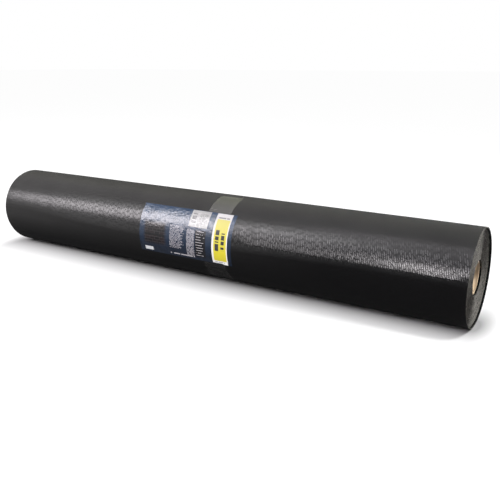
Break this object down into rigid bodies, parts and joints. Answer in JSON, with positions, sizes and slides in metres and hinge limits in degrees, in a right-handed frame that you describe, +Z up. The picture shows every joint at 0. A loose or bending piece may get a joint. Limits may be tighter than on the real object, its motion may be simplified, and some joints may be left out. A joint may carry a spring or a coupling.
{
  "type": "roll of damp proof course",
  "caption": "Long roll of embossed black damp proof film wound on a cardboard tube, closed with clear tape, with a plain printed label and a yellow sticker near its middle.",
  "frame": {"origin": "on the floor under the middle of the lying roll", "axes": "+X along the roll, out of the bore at the end that the outermost turns have slipped towards; -Y is the labelled side; +Z up"},
  "size_m": [1.2552, 0.1986, 0.1983],
  "materials": {
    "film": "embossed, low sheen",
    "core": "spiral wound, raw",
    "tape": "clear, glossy",
    "label": "printed, coated",
    "sticker": "printed, coated"
  },
  "bodies": {
    "root": {"film_roll": "film", "core_tube": "core", "closing_tape": "tape", "product_label": "label", "yellow_sticker": "sticker"}
  },
  "joints": []
}
